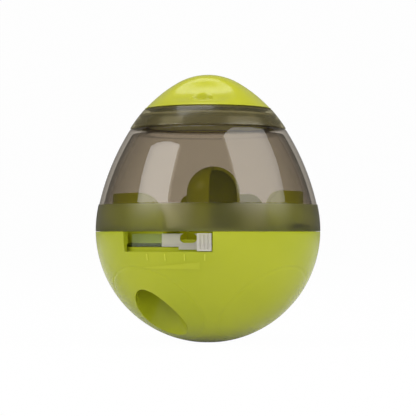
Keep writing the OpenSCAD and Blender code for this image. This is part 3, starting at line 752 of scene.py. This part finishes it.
# The tray and the plate take the lighter green of painted light.
for node in ("maze_tray", "lid_plate"):
    piece = dress(smooth_copy(node + "_smooth", node), node)
    piece.data.materials[0] = TRAY_GREEN_PAINTED_LIGHT
dress(smooth_copy("shutter_ring", "shutter", lambda c: ~in_tab(c)), "shutter")
tab = dress(smooth_copy("shutter_tab", "shutter", in_tab), "shutter")
tab.data.materials[0] = TAB_MILKY

for node in ("weight", "weight_cover", "weight_screws", "tray_screws", "bayonet_tongues",
             "lid_screws", "lid_seal"):
    mesh = frame["nodes"][node].data
    mesh.materials.clear()
    mesh.materials.append(FINISHES[SLOT_OF[node]])
    print(node, "keeps its solid, finished in", SLOT_OF[node])

# %% [markdown]
# ## Floor, light and camera
# The photograph is a product shot: a white sweep, one large soft box on each side, a soft
# light from above and a fill from the front that leaves no shape in the gloss. The sweep is a
# floor that curves up into a wall.

# %% Floor
def sweep():
    """A floor that turns up behind the object: level, a quarter circle, then upright."""
    turn = np.linspace(0, math.pi / 2, 24)
    y = np.concatenate([[-4000.0], 2500 + 1200 * np.sin(turn), [3700.0]])
    z = np.concatenate([[0.0], 1200 - 1200 * np.cos(turn), [4500.0]])
    x = np.array([-4500.0, 4500.0])
    grid = np.stack([np.repeat(x[None], len(y), 0), np.repeat(y[:, None], 2, 1),
                     np.repeat(z[:, None], 2, 1)], axis=-1)
    return mesh_piece("floor", [(grid, False, False)], sharp=90.0)


def seen_white(f, straight, mirrored):
    """How much of the white background a ray is shown: one share for rays from the camera and
    through glass, and another for rays from a gloss. Rays that light the object get none."""
    path = f.node("ShaderNodeLightPath")
    outputs = path.socket.node.outputs
    seen = straight * (Value(f, outputs["Is Camera Ray"]) +
                       Value(f, outputs["Is Transmission Ray"]))
    share = seen + mirrored * Value(f, outputs["Is Glossy Ray"])
    return share.maths("MINIMUM", share, 1.0)


floor_finish = Finish("floor")
paper = floor_finish.node("ShaderNodeBsdfDiffuse", inputs={"Color": (0.86, 0.86, 0.86, 1)})
glow = floor_finish.node("ShaderNodeEmission", inputs={"Color": (1, 1, 1, 1), "Strength": 1.0})
floor_finish.show(floor_finish.mix(seen_white(floor_finish, 0.985, 0.16), paper, glow))
floor = sweep()
floor.data.materials.append(floor_finish.material)


# %% Lamps and world
def soft_box(name, azimuth, elevation, distance, width, height, roll, radiance, mirrored=True):
    """A soft box that faces the object from an azimuth and an elevation, rolled about its own
    middle. One that isn't mirrored lights the object and leaves no shape in its gloss."""
    a, e = math.radians(azimuth), math.radians(elevation)
    away = Vector((math.sin(a) * math.cos(e), -math.cos(a) * math.cos(e), math.sin(e)))
    lamp = bpy.data.lights.new(name, "AREA")
    lamp.shape, lamp.size, lamp.size_y = "RECTANGLE", width, height
    lamp.energy = radiance * math.pi * width * height
    holder = bpy.data.objects.new(name, lamp)
    holder.location = Vector((0, 0, 0.06)) + distance * away
    turn = away.to_track_quat("Z", "Y") @ Quaternion((0, 0, 1), math.radians(roll))
    holder.rotation_euler = turn.to_euler()
    holder.visible_glossy = mirrored
    bpy.context.scene.collection.objects.link(holder)
    print(f"{name}: {lamp.energy:.0f} W")


soft_box("left_box", -65.5, 32.5, 1.3, 0.80, 0.80, 16.8, 4.3)
soft_box("right_box", 67.0, 37.5, 1.3, 1.27, 1.02, -17.4, 3.1)
soft_box("front_fill", 0, 12, 2.0, 2.0, 1.4, 0, 2.1, mirrored=False)

# A soft box overhead that shines straight down
overhead = bpy.data.lights.new("top_box", "AREA")
overhead.shape, overhead.size, overhead.size_y = "RECTANGLE", 0.75, 0.6
overhead.energy = 3.2 * math.pi * overhead.size * overhead.size_y
holder = bpy.data.objects.new("top_box", overhead)
holder.location = (-0.25, 0.12, 1.3)
bpy.context.scene.collection.objects.link(holder)

world = bpy.data.worlds.new("studio")
bpy.context.scene.world = world
world.use_nodes = True
tree = world.node_tree
background = tree.nodes["Background"]
background.inputs["Color"].default_value = (1, 1, 1, 1)
background.inputs["Strength"].default_value = 0.1

# %% Camera
CAMERA_AT, LOOK_AT, LENS = Vector((0, -0.692, 0.0488)), Vector((0, 0, 0.0595)), 134.2
camera = bpy.data.cameras.new("camera")
camera.lens, camera.sensor_width = LENS, 36.0
camera.clip_start, camera.clip_end = 0.01, 50.0
viewer = bpy.data.objects.new("camera", camera)
viewer.location = CAMERA_AT
viewer.rotation_euler = (LOOK_AT - CAMERA_AT).to_track_quat("-Z", "Y").to_euler()
bpy.context.scene.collection.objects.link(viewer)
bpy.context.scene.camera = viewer
bpy.context.scene.view_settings.view_transform = "Standard"
bpy.context.scene.cycles.transparent_max_bounces = 32

# %% The end
bpy.context.view_layer.update()
